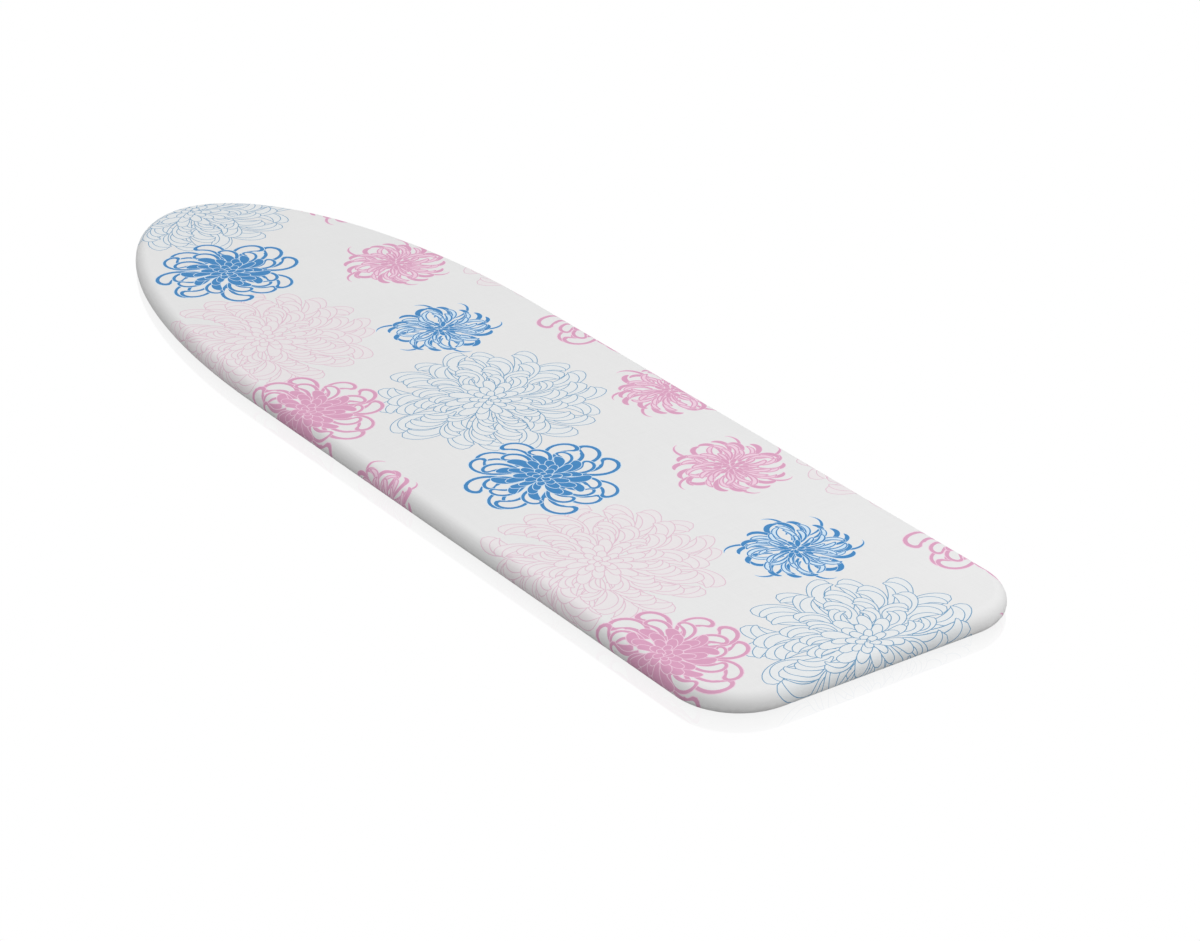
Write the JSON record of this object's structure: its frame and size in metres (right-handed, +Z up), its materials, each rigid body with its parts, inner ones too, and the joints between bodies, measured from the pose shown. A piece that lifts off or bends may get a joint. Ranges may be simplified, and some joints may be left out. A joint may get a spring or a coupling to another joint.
{
  "type": "ironing board top",
  "caption": "Flat ironing board top with a squared heel and a tapered round nose, padded, in a fitted flower-print cotton cover drawn in underneath by a cord; legs not included.",
  "frame": {"origin": "middle of the board's bounding box, on the plane its feet rest on", "axes": "+X from the square heel to the rounded nose, +Z up out of the ironing surface"},
  "size_m": [1.2499, 0.36, 0.022],
  "materials": {
    "cotton_print": "woven cotton with printed flowers",
    "cotton_tape": "folded cotton tape",
    "cord": "braided polyester",
    "moulded_plastic": "fine moulded texture",
    "button_plastic": "fine moulded texture",
    "spring_steel": "drawn wire",
    "foam": "open-cell foam",
    "felt": "needled felt",
    "galvanised_sheet": "galvanised",
    "painted_steel": "powder coat",
    "fastener_zinc": "zinc plated",
    "foot_rubber": "matte"
  },
  "bodies": {
    "board": {"cover": "cotton_print", "hem_casing": "cotton_tape", "drawcord": "cord", "cord_end_tab": "moulded_plastic", "foam_pad": "foam", "felt_pad": "felt", "top_sheet": "galvanised_sheet", "rim_tube": "painted_steel", "rim_ferrule": "galvanised_sheet", "cross_rib_heel": "painted_steel", "cross_rib_rear": "painted_steel", "cross_rib_front": "painted_steel", "cross_rib_nose": "painted_steel", "leg_rail_left": "painted_steel", "leg_rail_right": "painted_steel", "rail_rivets": "fastener_zinc", "weld_nuts": "fastener_zinc", "foot_screws": "fastener_zinc", "rubber_feet": "foot_rubber"},
    "cord_lock": {"cord_lock_body": "moulded_plastic", "cord_lock_spring": "spring_steel"},
    "lock_button": {"cord_lock_button": "button_plastic"}
  },
  "joints": [
    {"name": "cord_lock_slide", "type": "slide", "parent": "board", "child": "cord_lock", "axis": [1, 0, 0], "range_m": [-0.012, 0.044]},
    {"name": "button_press", "type": "slide", "parent": "cord_lock", "child": "lock_button", "axis": [0, -1, 0], "range_m": [0, 0.0033], "stiffness_N_per_m": 600, "springref_m": -0.001, "deforming": ["cord_lock_spring"]}
  ]
}
